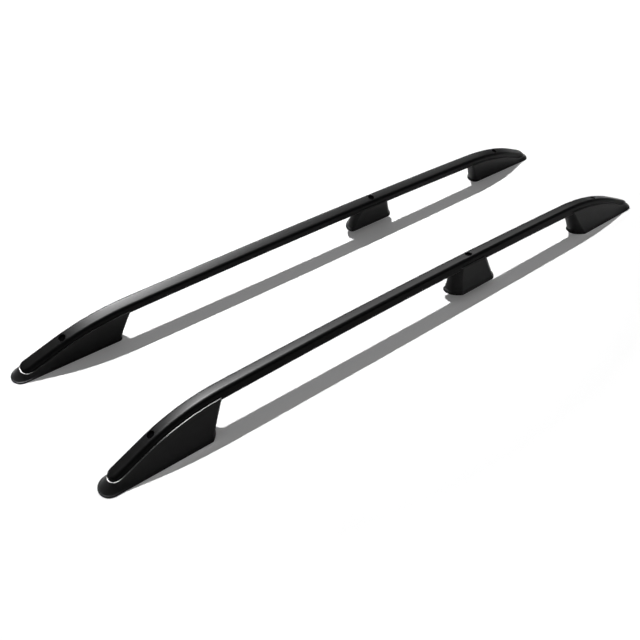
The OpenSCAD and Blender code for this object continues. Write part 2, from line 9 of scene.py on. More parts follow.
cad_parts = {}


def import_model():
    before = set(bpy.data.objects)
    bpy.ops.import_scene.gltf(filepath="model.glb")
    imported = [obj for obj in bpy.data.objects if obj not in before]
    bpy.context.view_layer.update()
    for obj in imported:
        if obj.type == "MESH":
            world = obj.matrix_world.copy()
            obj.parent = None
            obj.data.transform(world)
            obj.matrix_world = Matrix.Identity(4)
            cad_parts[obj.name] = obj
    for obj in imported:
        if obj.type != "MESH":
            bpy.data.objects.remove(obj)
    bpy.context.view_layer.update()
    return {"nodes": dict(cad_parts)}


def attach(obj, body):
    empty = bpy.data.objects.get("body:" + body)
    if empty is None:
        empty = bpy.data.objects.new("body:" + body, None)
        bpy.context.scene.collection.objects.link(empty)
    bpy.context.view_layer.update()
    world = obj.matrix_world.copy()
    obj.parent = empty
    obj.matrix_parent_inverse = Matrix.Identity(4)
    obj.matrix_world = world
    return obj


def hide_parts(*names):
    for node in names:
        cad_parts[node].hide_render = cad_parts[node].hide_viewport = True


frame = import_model()
MM = 0.001

# The pair, in millimetres
LENGTH = 1745.0
SPACING = 378.0
STAGGER = 49.0
LEAN = radians(11.4)

# The tube's section and the line of its top
BAR_W = 33.0
BAR_H = 30.0
BAR_R = 7.0
EDGE_EASE = 0.9
BAR_WALL = 2.2
CROWN_H = 115.6
CROWN_X = 826.0
ARCH_R = 21000.0
FRONT_BEND_X = 291.5
FRONT_BEND_R = 465.0
FRONT_LEG = radians(24.6)
REAR_BEND_X = LENGTH - 329.0
REAR_BEND_R = 604.0
REAR_LEG = radians(24.4)
FRONT_INSET = 25.5
REAR_INSET = 26.0

# Holes, plugs and inserts
ACCESS_D = 18.0
HOLE_X = {"front": 130.0, "middle": 1024.5, "rear": LENGTH - 197.5}
HOLE_BEVEL = 0.4
SCREW_HOLE_D = 6.6
NUT_HOLE_D = 9.1
NUT_HOLE_PASS = 0.5
NUT_HOLE_TOP = -BAR_H + NUT_HOLE_PASS
NUT_HOLE_LEN = 15.0
NUT_BOSS_D = 15.0
NUT_BOSS_LEN = 17.0
ROOF_HOLE_D = 12.1
ROOF_HOLE_LEN = 18.0
ROOF_BOSS_D = 20.0
ROOF_BOSS_LEN = 21.0
GASKET_HOLE_D = 12.6
PLUG_CLEAR = 0.2
PLUG_R = ACCESS_D / 2 - PLUG_CLEAR
PLUG_WALL = 1.4
PLUG_SINK = 0.5
PLUG_H = 6.0
PLUG_BEAD = 0.5
PLUG_FILLET = 1.0

# Feet and gaskets
GASKET_T = 3.0
GASKET_RIM = 0.8
GASKET_EDGE = 0.8
MIDDLE_RISE = 22.0
LEDGE_W = 3.0
SEAT_CLEAR = 0.2
SHOW_LEG = 14.5
SHOW_INNER = 18.5
LEDGE_END_H = 21.0
LEDGE_SOFT = 3.0
LIP_W = 2.4
LIP_DROP = 1.1
# The polish reaches this far past the ledge's sides, and down this share of the lip's drop
LIP_MARGIN = 1.0
LIP_DEPTH = 0.9
WALL_HOLLOW = 2.0
RIM_H = 6.0
RIM_UPRIGHT = 1 / 3
RIM_SIDE = 1.0
RIM_END = 2.5
FOOT_WALL = 3.0
FLOOR_T = 4.0
RIB_T = 2.5
RIB_PITCH = 32.0
CORNER_SOFT = 2.0
HOLLOW_REACH = 46.0
HOLLOW_BOW = 8.0
PASS = 1.0
CUT_HALF = 2 * BAR_W

# Outlines of the feet: how far they reach out from the base line and in from it, where their
# ends are, how far apart along the rail an end's two corners are, and how far the ends bow
FRONT_OUT = 25.0
FRONT_IN = 26.0
FRONT_BASE_END = 241.5
FRONT_SKEW = 6.0
FRONT_BASE_BOW = 12.0
FRONT_TOP_END = 283.0
FRONT_TOP_BOW = 12.0
MIDDLE_OUT = 19.5
MIDDLE_IN = 28.0
MIDDLE_BASE_FRONT = 40.0
MIDDLE_SKEW = 17.0
MIDDLE_BASE_REAR = 75.0
MIDDLE_REAR_SKEW = 5.0
MIDDLE_BASE_BOW = 16.0
MIDDLE_TOP_FRONT = 37.0
MIDDLE_TOP_REAR = 43.0
MIDDLE_TOP_BOW = 17.0
REAR_OUT = 25.0
REAR_IN = 26.5
REAR_BASE_END = 242.0
REAR_SKEW = 14.0
REAR_BASE_BOW = 23.0
REAR_TOP_END = 308.5
REAR_TOP_BOW = 10.0

# Steps of the fine meshes
EDGE_STEPS = 10
INNER_EDGE_STEPS = 4
DOME_STEPS = 36
BEND_PITCH = 6.0
ARCH_PITCH = 18.0
END_STEPS = 40
WALL_STEPS = 48
WALL_LEVELS = 16
HOLLOW_LEVELS = 6
ROUND_STEPS = 5
SOFT_STEPS = 4
GASKET_EDGE_STEPS = 4
PLUG_RIM_STEPS = 8
PLUG_FILLET_STEPS = 5
FACETS = 64
SHARP_ANGLE = radians(28)

# Camera, at the photograph's viewing angle, in metres
CAMERA_AT = Vector((-0.8828, -0.9067, 1.1212))
PITCH_DOWN = 0.8015
HEADING = 0.9024
ROLL = 0.0475
LENS_MM = 34.77
SENSOR_MM = 36.0
CLIP_END = 50.0

# Key lamp above and behind the pair, and cards that only show in reflections:
# where each one is, its size along X and along Y, and its power
KEY_AT = Vector((-0.0905, 1.388, 3.157))
KEY_SIZE = 0.06
KEY_WATTS = 138.0
CARDS = [
    ((-1.2, 2.1, 2.9), (0.8, 4.0), 1150.0),
    ((-0.4, 2.2, 2.9), (0.8, 1.0), 1150.0),
    ((-0.4, 3.4, 2.9), (0.8, 1.4), 430.0),
    ((0.6, 2.9, 2.9), (1.2, 2.4), 850.0),
    ((3.3, 3.8, 2.9), (4.2, 4.2), 750.0),
    ((-0.2, 0.3, 2.9), (1.0, 0.8), 160.0),
]
FILL = 0.2
FLOOR_HALF = 12.0
FLOOR_WHITE = 0.9
FLOOR_ROUGH = 0.9
FLOOR_LIFT = 0.06
FLOOR_LIFT_FAR = 0.8
# Half axes of the oval round the pair within which the floor keeps its lower lift, and how
# many times larger the oval is where the lift is at its highest
OVAL = (1.04, 0.6)
OVAL_FAR = 2.5

# What is worked out from the tube's line: where the arch meets the bends, the bends' centres,
# where the straight legs start, and where the round ends are centred
FRONT_JOIN = asin((CROWN_X - FRONT_BEND_X) / ARCH_R)
REAR_JOIN = asin((REAR_BEND_X - CROWN_X) / ARCH_R)
ARCH_Z = CROWN_H - ARCH_R
FRONT_CX = CROWN_X - (ARCH_R - FRONT_BEND_R) * sin(FRONT_JOIN)
FRONT_CZ = ARCH_Z + (ARCH_R - FRONT_BEND_R) * cos(FRONT_JOIN)
REAR_CX = CROWN_X + (ARCH_R - REAR_BEND_R) * sin(REAR_JOIN)
REAR_CZ = ARCH_Z + (ARCH_R - REAR_BEND_R) * cos(REAR_JOIN)
FRONT_START = FRONT_CX - FRONT_BEND_R * sin(FRONT_LEG)
REAR_START = REAR_CX + REAR_BEND_R * sin(REAR_LEG)
FRONT_DOME_X = FRONT_INSET + BAR_W / 2 * cos(FRONT_LEG) - BAR_R * sin(FRONT_LEG)
REAR_DOME_X = LENGTH - REAR_INSET - BAR_W / 2 * cos(REAR_LEG) + BAR_R * sin(REAR_LEG)
CUT_H = GASKET_T + FLOOR_T
LEDGE_HALF = BAR_W / 2 + LEDGE_W


def slope(x):
    """Slope of the tube's top line at x."""
    if x < FRONT_START:
        return FRONT_LEG
    if x < FRONT_BEND_X:
        return asin((FRONT_CX - x) / FRONT_BEND_R)
    if x < REAR_BEND_X:
        return asin((CROWN_X - x) / ARCH_R)
    if x < REAR_START:
        return asin((REAR_CX - x) / REAR_BEND_R)
    return -REAR_LEG


def top_h(x):
    """Height of the tube's top line at x, in its leaning plane."""
    if x < FRONT_START:
        return FRONT_CZ + FRONT_BEND_R * cos(FRONT_LEG) - (FRONT_START - x) * tan(FRONT_LEG)
    if x < FRONT_BEND_X:
        return FRONT_CZ + FRONT_BEND_R * cos(slope(x))
    if x < REAR_BEND_X:
        return ARCH_Z + ARCH_R * cos(slope(x))
    if x < REAR_START:
        return REAR_CZ + REAR_BEND_R * cos(slope(x))
    return REAR_CZ + REAR_BEND_R * cos(REAR_LEG) - (x - REAR_START) * tan(REAR_LEG)


def leaned(x, across, h):
    """A point given across the leaning plane and up in it, as x, y and z."""
    return (x, across * cos(LEAN) + h * sin(LEAN), h * cos(LEAN) - across * sin(LEAN))


def by_tube(x, along, across, up):
    """A point measured from the tube's top line at x: along it, across it and up from it."""
    s = slope(x)
    return leaned(x + along * cos(s) - up * sin(s), across, top_h(x) + along * sin(s) + up * cos(s))


def mix(a, b, t):
    return a + (b - a) * t


def evenly(a, b, steps):
    """The ends a and b, and places between them at even steps."""
    return [mix(a, b, i / steps) for i in range(steps + 1)]


def stations(a, b):
    """Places along the tube from a to b, closer together in its bends."""
    marks = [a] + [m for m in (FRONT_START, FRONT_BEND_X, REAR_BEND_X, REAR_START) if a < m < b] + [b]
    places = [a]
    for lo, hi in zip(marks, marks[1:]):
        on_arch = FRONT_BEND_X <= (lo + hi) / 2 <= REAR_BEND_X
        steps = max(1, round((hi - lo) / (ARCH_PITCH if on_arch else BEND_PITCH)))
        places += evenly(lo, hi, steps)[1:]
    return places


def half_section(grow, steps):
    """Right half of the tube's section, from the middle of its bottom to the middle of its top."""
    w, r = BAR_W / 2 + grow, BAR_R + grow + EDGE_EASE
    low, high = -BAR_H - grow + r, grow - r
    turns = [(w - r + r * cos(a), low + r * sin(a)) for a in evenly(-pi / 2, 0, steps)]
    turns += [(w - r + r * cos(a), high + r * sin(a)) for a in evenly(0, pi / 2, steps)]
    return [(0.0, low - r)] + turns + [(0.0, high + r)]


def tube(places, grow, steps, round_front, round_rear):
    """A run of the tube, larger all round by grow, with flat ends or round ones."""
    half = half_section(grow, steps)
    top = len(half) - 1
    ring = 2 * top
    points = []
    for x in places:
        points += [by_tube(x, 0.0, a, u) for a, u in half]
        points += [by_tube(x, 0.0, -a, u) for a, u in half[top - 1:0:-1]]
    faces = []
    last = len(places) - 1
    for i in range(last):
        for j in range(ring):
            k = (j + 1) % ring
            faces.append((i * ring + j, (i + 1) * ring + j, (i + 1) * ring + k, i * ring + k))

    def dome(i, way):
        start = len(points)
        for m in range(1, DOME_STEPS):
            turn = pi * m / DOME_STEPS
            for across, up in half[1:top]:
                points.append(by_tube(places[i], way * across * sin(turn), across * cos(turn), up))

        def at(m, j):
            if j in (0, top) or m == 0:
                return i * ring + j
            if m == DOME_STEPS:
                return i * ring + ring - j
            return start + (m - 1) * (top - 1) + j - 1

        for m in range(DOME_STEPS):
            for j in range(top):
                corners = [at(m, j), at(m, j + 1), at(m + 1, j + 1), at(m + 1, j)]
                faces.append(tuple(c for n, c in enumerate(corners) if c not in corners[:n])[::-way])

    if round_front:
        dome(0, -1)
    else:
        faces.append(tuple(range(ring)))
    if round_rear:
        dome(last, 1)
    else:
        faces.append(tuple(last * ring + j for j in range(ring - 1, -1, -1)))
    return points, faces


def rod(place, d, low, high, bevel=0.0):
    """A round cutter from low to high along the Z of the frame that place gives.
    With a bevel it is wider by it at height 0, and wider still above."""
    levels = [(low, d / 2), (high, d / 2)]
    if bevel:
        levels = [(low, d / 2), (-bevel, d / 2), (high, d / 2 + bevel + high)]
    points = []
    for z, r in levels:
        points += [place(r * cos(a), r * sin(a), z) for a in evenly(0, 2 * pi, FACETS)[:-1]]
    faces = [tuple(range(FACETS - 1, -1, -1))]
    for i in range(len(levels) - 1):
        for j in range(FACETS):
            k = (j + 1) % FACETS
            faces.append((i * FACETS + j, i * FACETS + k, (i + 1) * FACETS + k, (i + 1) * FACETS + j))
    faces.append(tuple((len(levels) - 1) * FACETS + j for j in range(FACETS)))
    return points, faces


def on_top(x):
    """A frame on the tube's top line at x, square to it."""
    return lambda u, v, w: by_tube(x, u, v, w)


def upright(x, y, z):
    """A frame at a point, along the rail's own axes."""
    return lambda u, v, w: (x + u, y + v, z + w)


def block(x0, x1, y0, y1, z0, z1):
    points = [(x, y, z) for x in (x0, x1) for y in (y0, y1) for z in (z0, z1)]
    return points, [(0, 1, 3, 2), (4, 6, 7, 5), (0, 4, 5, 1), (2, 3, 7, 6), (0, 2, 6, 4), (1, 5, 7, 3)]


def below(h):
    """A block that takes away all that is lower than h."""
    return block(-PASS, LENGTH + PASS, -CUT_HALF, CUT_HALF, h - 2 * BAR_H, h)


def solid_object(shape):
    points, faces = shape
    mesh = bpy.data.meshes.new("work")
    mesh.from_pydata(points, [], faces)
    obj = bpy.data.objects.new("work", mesh)
    bpy.context.scene.collection.objects.link(obj)
    return obj


def cut(shape, *tools):
    """The shape less each of the tools, as points and faces."""
    body = solid_object(shape)
    cutters = [solid_object(t) for t in tools]
    for tool in cutters:
        step = body.modifiers.new("cut", "BOOLEAN")
        step.operation = "DIFFERENCE"
        step.solver = "MANIFOLD"
        step.object = tool
    ready = body.evaluated_get(bpy.context.evaluated_depsgraph_get())
    mesh = bpy.data.meshes.new_from_object(ready)
    result = [tuple(v.co) for v in mesh.vertices], [tuple(p.vertices) for p in mesh.polygons]
    for obj in [body] + cutters:
        used = obj.data
        bpy.data.objects.remove(obj)
        bpy.data.meshes.remove(used)
    bpy.data.meshes.remove(mesh)
    return result


def ledge_h(x):
    """Height of a foot's ledge at x, in the leaning plane."""
    show = mix(SHOW_INNER, SHOW_LEG, abs(slope(x)) / FRONT_LEG) / cos(slope(x))
    a, b = top_h(x) - show, LEDGE_END_H
    return (a + b + sqrt((a - b) ** 2 + LEDGE_SOFT ** 2)) / 2


def end_curve(x0, y0, x1, y1, bow, sharp_start, sharp_end):
    """One end of an outline, bowed, with its corners rounded or sharp."""
    points = []
    for a in evenly(0, pi, END_STEPS):
        s = (1 - cos(a)) / 2
        sharp = sharp_start if a < pi / 2 else sharp_end
        points.append((mix(x0, x1, s) + bow * sin(a) ** (2 if sharp else 1), mix(y0, y1, s)))
    return points


def soften(corner, wall_way, far):
    """Points that take a sharp corner's edge off, up to the point far and without it."""
    near = (corner[0] + wall_way * CORNER_SOFT, corner[1])
    curve = []
    for t in evenly(0.0, 1.0, SOFT_STEPS)[:-1]:
        curve.append(tuple(
            (1 - t) ** 2 * near[i] + 2 * t * (1 - t) * corner[i] + t ** 2 * far[i] for i in (0, 1)
        ))
    return curve


class End(NamedTuple):
    """One end of a foot's outline: where its outer and its inner corner are, how far it
    bows, and whether its outer corner is sharp, as it is on all ends but a round nose."""

    outer: float
    inner: float
    bow: float
    sharp: bool


def outline(front, rear, out, inner):
    """Closed outline of a foot, from its front end round its inner side."""
    start = end_curve(front.outer, -out, front.inner, inner, -front.bow, front.sharp, False)
    finish = end_curve(rear.inner, inner, rear.outer, -out, rear.bow, False, rear.sharp)
    if front.sharp:
        start[:SOFT_STEPS] = soften(start[0], 1, start[SOFT_STEPS])
    if rear.sharp:
        finish[-SOFT_STEPS:] = soften(finish[-1], -1, finish[-SOFT_STEPS - 1])[::-1]
    inside = [(x, inner) for x in evenly(front.inner, rear.inner, WALL_STEPS)[1:-1]]
    outside = [(x, -out) for x in evenly(rear.outer, front.outer, WALL_STEPS)[1:-1]]
    return start + inside + finish + outside


class Foot:
    """The sizes of one foot, and its outlines at the base and at the ledge."""

    def __init__(self, key, base_z, out, inner, base_front, base_rear, top_front, top_rear):
        self.key = key
        self.base_z = base_z
        self.out = out
        self.inner = inner
        self.base_ends = (base_front, base_rear)
        self.top_ends = (top_front, top_rear)
        self.hole_x = HOLE_X[key]
        self.insert_y = (inner - out) / 2

    def base(self, side, end):
        """Outline at the base, larger by side at its walls and noses and by end at its ends."""
        ends = [e._replace(bow=e.bow + (end if e.sharp else side)) for e in self.base_ends]
        return outline(*ends, self.out + side, self.inner + side)

    def ledge(self, inset):
        """Outline at the ledge, smaller all round by inset."""
        ends = [e._replace(bow=e.bow - inset) for e in self.top_ends]
        return outline(*ends, LEDGE_HALF - inset, LEDGE_HALF - inset)


def ledge_end(x, bow, sharp):
    return End(x, x, bow, sharp)


NOSE_FRONT_R = (FRONT_OUT + FRONT_IN) / 2
NOSE_REAR_R = (REAR_OUT + REAR_IN) / 2
NOSE_FRONT_X = GASKET_RIM + RIM_SIDE + NOSE_FRONT_R
NOSE_REAR_X = LENGTH - GASKET_RIM - RIM_SIDE - NOSE_REAR_R
MIDDLE_X = HOLE_X["middle"]
MIDDLE_START_X = MIDDLE_X - MIDDLE_BASE_FRONT
MIDDLE_END_X = MIDDLE_X + MIDDLE_BASE_REAR
REAR_BASE_X = LENGTH - REAR_BASE_END
FEET = {
    "front": Foot(
        "front", GASKET_T, FRONT_OUT, FRONT_IN,
        End(NOSE_FRONT_X, NOSE_FRONT_X, NOSE_FRONT_R, False),
        End(FRONT_BASE_END, FRONT_BASE_END + FRONT_SKEW, FRONT_BASE_BOW, True),
        ledge_end(FRONT_INSET + BAR_W / 2, LEDGE_HALF, False),
        ledge_end(FRONT_TOP_END, FRONT_TOP_BOW, True),
    ),
    "middle": Foot(
        "middle", MIDDLE_RISE + GASKET_T, MIDDLE_OUT, MIDDLE_IN,
        End(MIDDLE_START_X, MIDDLE_START_X - MIDDLE_SKEW, MIDDLE_BASE_BOW, True),
        End(MIDDLE_END_X, MIDDLE_END_X - MIDDLE_REAR_SKEW, MIDDLE_BASE_BOW, True),
        ledge_end(MIDDLE_X - MIDDLE_TOP_FRONT, MIDDLE_TOP_BOW, True),
        ledge_end(MIDDLE_X + MIDDLE_TOP_REAR, MIDDLE_TOP_BOW, True),
    ),
    "rear": Foot(
        "rear", GASKET_T, REAR_OUT, REAR_IN,
        End(REAR_BASE_X, REAR_BASE_X - REAR_SKEW, REAR_BASE_BOW, True),
        End(NOSE_REAR_X, NOSE_REAR_X, NOSE_REAR_R, False),
        ledge_end(LENGTH - REAR_TOP_END, REAR_TOP_BOW, True),
        ledge_end(LENGTH - REAR_INSET - BAR_W / 2, LEDGE_HALF, False),
    ),
}


def skin(rings):
    """A closed solid through rings of points, with strips across its top and its bottom."""
    n = len(rings[0])
    points = [p for ring in rings for p in ring]
    faces = []
    for k in range(len(rings) - 1):
        for i in range(n):
            j = (i + 1) % n
            faces.append((k * n + i, k * n + j, (k + 1) * n + j, (k + 1) * n + i))
    apex = END_STEPS // 2

    def strips(k):
        out = []
        for j in range(n // 2):
            near = (k * n + (apex + j) % n, k * n + (apex + j + 1) % n)
            far = (k * n + (apex - j - 1) % n, k * n + (apex - j) % n)
            face = near + far
            out.append(tuple(c for m, c in enumerate(face) if c not in face[:m]))
        return out

    faces += [f[::-1] for f in strips(0)]
    faces += strips(len(rings) - 1)
    return points, faces


def wall_rings(base, rim, upper, base_z, levels):
    """Rings of a foot's wall, hollowed most at half its height. Each level is its share of
    the height and its share of the rim."""
    sides = [p[1] for p in base]
    middle, half = (min(sides) + max(sides)) / 2, (max(sides) - min(sides)) / 2
    rings = []
    for s, e in levels:
        ring = []
        for b, r, u in zip(base, rim, upper):
            hollow = WALL_HOLLOW * (b[1] - middle) / half * 4 * s * (1 - s)
            ring.append((
                mix(b[0], u[0], s) + e * (r[0] - b[0]),
                mix(b[1], u[1], s) + e * (r[1] - b[1]) - hollow,
                mix(base_z, u[2], s),
            ))
        rings.append(ring)
    return rings


def foot_form(foot):
    """A foot's outer form, with a rim round its bottom and a rounded ledge."""
    base, rim = foot.base(0, 0), foot.base(RIM_SIDE, RIM_END)
    top = foot.ledge(0)
    turn = RIM_H / (max(ledge_h(p[0]) for p in top) - foot.base_z)
    levels = [(0.0, 1.0)]
    for t in evenly(0, 1, ROUND_STEPS):
        levels.append((turn * mix(RIM_UPRIGHT, 1, t), (1 + cos(pi * t)) / 2))
    levels += [(s, 0.0) for s in evenly(turn, 1, WALL_LEVELS)[1:]]
    upper = [leaned(p[0], p[1], ledge_h(p[0]) - LIP_DROP) for p in top]
    rings = wall_rings(base, rim, upper, foot.base_z, levels)
    for a in evenly(0, pi / 2, ROUND_STEPS)[1:]:
        inset = foot.ledge(LIP_W * (1 - cos(a)))
        drop = LIP_DROP * (1 - sin(a))
        rings.append([leaned(p[0], p[1], ledge_h(p[0]) - drop) for p in inset])
    return skin(rings)


def hollow_form(foot):
    """The hollow under a foot, before its ribs, bosses and seat are taken off."""
    stops = (FRONT_DOME_X + HOLLOW_REACH, REAR_DOME_X - HOLLOW_REACH)

    def shrunk(ends):
        return [
            e._replace(bow=e.bow - FOOT_WALL) if e.sharp else End(stop, stop, HOLLOW_BOW, False)
            for e, stop in zip(ends, stops)
        ]

    base = outline(*shrunk(foot.base_ends), foot.out - FOOT_WALL, foot.inner - FOOT_WALL)
    top = outline(*shrunk(foot.top_ends), LEDGE_HALF - FOOT_WALL, LEDGE_HALF - FOOT_WALL)
    upper = [leaned(p[0], p[1], ledge_h(p[0])) for p in top]
    levels = [(s, 0.0) for s in evenly(0, 1, HOLLOW_LEVELS)]
    return skin(wall_rings(base, base, upper, foot.base_z - PASS, levels))


def rib_places(foot):
    """Where a foot's cross ribs stand."""
    front, rear = foot.base_ends
    x, last = {
        "front": (FRONT_DOME_X + HOLLOW_REACH + RIB_PITCH / 2, rear.outer),
        "middle": (foot.hole_x - RIB_PITCH, rear.outer),
        "rear": (front.outer + RIB_PITCH / 4, REAR_DOME_X - HOLLOW_REACH - RIB_PITCH / 2),
    }[foot.key]
    places = []
    while x <= last:
        places.append(x)
        x += RIB_PITCH
    return places


def foot_shape(foot):
    """A foot: its outer form less the tube's seat, its hollow and its two holes for inserts."""
    front, rear = foot.top_ends
    lo, hi = front.outer - front.bow - BAR_H, rear.outer + rear.bow + BAR_H
    round_front, round_rear = foot.key == "front", foot.key == "rear"
    run = stations(FRONT_DOME_X if round_front else lo, REAR_DOME_X if round_rear else hi)
    seat = cut(tube(run, SEAT_CLEAR, EDGE_STEPS, round_front, round_rear), below(CUT_H - SEAT_CLEAR))
    ribs = [
        block(x - RIB_T / 2, x + RIB_T / 2, -CUT_HALF, CUT_HALF, foot.base_z - 2 * PASS, CROWN_H)
        for x in rib_places(foot)
    ]
    hole = upright(foot.hole_x, foot.insert_y, foot.base_z)
    nut = on_top(foot.hole_x)
    hollow = cut(
        hollow_form(foot),
        tube(run, SEAT_CLEAR + FOOT_WALL, EDGE_STEPS, round_front, round_rear),
        *ribs,
        rod(hole, ROOF_BOSS_D, -2 * PASS, ROOF_BOSS_LEN),
        rod(nut, NUT_BOSS_D, -BAR_H - NUT_BOSS_LEN, -BAR_H),
    )
    return cut(
        foot_form(foot), seat, hollow,
        rod(hole, ROOF_HOLE_D, -PASS, ROOF_HOLE_LEN),
        rod(nut, NUT_HOLE_D, NUT_HOLE_TOP - NUT_HOLE_LEN, NUT_HOLE_TOP),
    )


def bar_shape():
    """The tube, hollow, cut level at its ends, with its access holes and screw holes."""
    run = stations(FRONT_DOME_X, REAR_DOME_X)
    tools = [tube(run, -BAR_WALL, INNER_EDGE_STEPS, True, True), below(CUT_H)]
    for x in HOLE_X.values():
        tools.append(rod(on_top(x), ACCESS_D, -BAR_H / 2, PASS, HOLE_BEVEL))
        tools.append(rod(on_top(x), SCREW_HOLE_D, -1.5 * BAR_H, -BAR_H / 2))
    return cut(tube(run, 0.0, EDGE_STEPS, True, True), *tools)


def gasket_shape(foot):
    """A gasket with rounded edges and its hole for the roof bolt."""
    low = foot.base_z - GASKET_T
    rings = []
    for z0, way in ((low, -1), (foot.base_z, 1)):
        for a in evenly(0, pi / 2, GASKET_EDGE_STEPS):
            turn = pi / 2 - a if way < 0 else a
            grow = GASKET_RIM - GASKET_EDGE * (1 - cos(turn))
            ring = foot.base(RIM_SIDE + grow, RIM_END + grow)
            z = z0 - way * GASKET_EDGE * (1 - sin(turn))
            rings.append([(p[0], p[1], z) for p in ring])
    hole = upright(foot.hole_x, foot.insert_y, low)
    return cut(skin(rings), rod(hole, GASKET_HOLE_D, -PASS, GASKET_T + PASS))


def plug_shape(x):
    """A cup-shaped plug with a rounded rim and a snap bead."""
    bead_top = -BAR_WALL - SEAT_CLEAR
    rim_r = PLUG_WALL / 2
    rim = [
        (PLUG_R - rim_r - rim_r * cos(a), -PLUG_SINK - rim_r + rim_r * sin(a))
        for a in evenly(0, pi, PLUG_RIM_STEPS)
    ]
    floor_z = -PLUG_H + PLUG_WALL
    inside = [
        (PLUG_R - PLUG_WALL - PLUG_FILLET * (1 - sin(a)), floor_z + PLUG_FILLET * (1 - cos(a)))
        for a in evenly(0, pi / 2, PLUG_FILLET_STEPS)
    ]
    profile = inside + rim + [
        (PLUG_R, bead_top), (PLUG_R + PLUG_CLEAR + PLUG_BEAD, bead_top),
        (PLUG_R, bead_top - 2 * PLUG_BEAD), (PLUG_R, -PLUG_H),
    ]
    turns = evenly(0, 2 * pi, FACETS)[:-1]
    points = [by_tube(x, r * cos(a), r * sin(a), z) for r, z in profile for a in turns]
    faces = [tuple(range(FACETS))]
    for i in range(len(profile) - 1):
        for j in range(FACETS):
            k = (j + 1) % FACETS
            faces.append((i * FACETS + j, (i + 1) * FACETS + j, (i + 1) * FACETS + k, i * FACETS + k))
    start = (len(profile) - 1) * FACETS
    faces.append(tuple(start + j for j in range(FACETS - 1, -1, -1)))
    return points, faces


def on_lip(point, share):
    """The share of polish of a foot's ledge where the point is on it, and 0 elsewhere."""
    x, y, z = point
    across = y * cos(LEAN) - z * sin(LEAN)
    height = z * cos(LEAN) + y * sin(LEAN)
    near = abs(across) < LEDGE_HALF + LIP_MARGIN
    return share if near and height > ledge_h(x) - LIP_DROP * LIP_DEPTH else 0.0


def place_pair(key, shape, finish):
    """Puts a shape on both rails, in place of the nodes of that name."""
    points, faces = shape
    lip = [on_lip(p, LIP_SHARE[key]) for p in points] if key in LIP_SHARE else None
    for side, shift, way in (("left", STAGGER, 1), ("right", -STAGGER, -1)):
        x0 = (shift - LENGTH) / 2
        mesh = bpy.data.meshes.new(f"{side}_{key}_finish")
        placed = [((x0 + x) * MM, way * (y - SPACING / 2) * MM, z * MM) for x, y, z in points]
        mesh.from_pydata(placed, [], [f[::way] for f in faces])
        if lip:
            mesh.attributes.new("lip", "FLOAT", "POINT").data.foreach_set("value", lip)
        mesh.shade_smooth()
        mesh.set_sharp_from_angle(angle=SHARP_ANGLE)
        mesh.materials.append(materials[finish])
        obj = bpy.data.objects.new(f"{side}_{key}_finish", mesh)
        bpy.context.scene.collection.objects.link(obj)
        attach(obj, "root")
        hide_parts(f"{side}_{key}")


# Nearly all of a noise's values lie between these two
NOISE_LOW = 0.3
NOISE_HIGH = 0.7

NOISE_DETAIL = 3.0


class Finish(NamedTuple):
    """A surface. Its colour and its roughness each drift between two values, and its grain is
    a fine bump, of cells or of noise. Scales count waves or cells in a metre, and depth is
    in metres."""

    colour_scale: float
    dark: tuple
    light: tuple
    rough_scale: float
    smooth: float
    rough: float
    grain_scale: float
    depth: float
    strength: float
    cells: bool = False
    shine: float = 0.5
    metallic: float = 0.0
    rough_detail: float = NOISE_DETAIL
    lipped: bool = False


FINISHES = {
    # Satin black powder coat, with faint orange peel
    "bar_paint": Finish(
        colour_scale=60.0, dark=(0.0010, 0.0010, 0.0011), light=(0.0016, 0.0016, 0.0018),
        rough_scale=180.0, smooth=0.33, rough=0.37,
        grain_scale=900.0, depth=0.00005, strength=0.15, shine=0.03,
    ),
    # Black moulded plastic with a fine leather grain
    "foot_plastic": Finish(
        colour_scale=40.0, dark=(0.0055, 0.0055, 0.0057), light=(0.0075, 0.0075, 0.0078),
        rough_scale=240.0, smooth=0.40, rough=0.46,
        grain_scale=1400.0, depth=0.00005, strength=0.2, cells=True, shine=0.07, lipped=True,
    ),
    "gasket_rubber": Finish(
        colour_scale=80.0, dark=(0.0012, 0.0012, 0.0012), light=(0.0020, 0.0020, 0.0020),
        rough_scale=300.0, smooth=0.72, rough=0.85,
        grain_scale=1600.0, depth=0.00008, strength=0.3, shine=0.01,
    ),
    "plug_plastic": Finish(
        colour_scale=120.0, dark=(0.0020, 0.0020, 0.0022), light=(0.0030, 0.0030, 0.0033),
        rough_scale=400.0, smooth=0.8, rough=0.9,
        grain_scale=1800.0, depth=0.00004, strength=0.15, cells=True, shine=0.0,
    ),
    # Turned metals
    "insert_brass": Finish(
        colour_scale=150.0, dark=(0.52, 0.38, 0.16), light=(0.66, 0.50, 0.24),
        rough_scale=700.0, smooth=0.28, rough=0.42, rough_detail=5.0,
        grain_scale=2500.0, depth=0.00003, strength=0.2, metallic=1.0,
    ),
    "fixing_steel": Finish(
        colour_scale=150.0, dark=(0.48, 0.49, 0.51), light=(0.60, 0.61, 0.63),
        rough_scale=700.0, smooth=0.26, rough=0.40, rough_detail=5.0,
        grain_scale=2500.0, depth=0.00003, strength=0.2, metallic=1.0,
    ),
}

# How much of its polish each foot's lip has, and how smooth and shiny full polish is
LIP_SHARE = {"front_foot": 0.8, "middle_foot": 0.6, "rear_foot": 0.2}
LIP_POLISH = {"Roughness": 0.28, "Specular IOR Level": 0.6}

# Finishes of the nodes that keep their own shape, by the end of their names
FIXINGS = {
    "roof_insert": "insert_brass",
    "nut_inserts": "insert_brass",
    "clamp_screws": "fixing_steel",
    "washers": "fixing_steel",
}


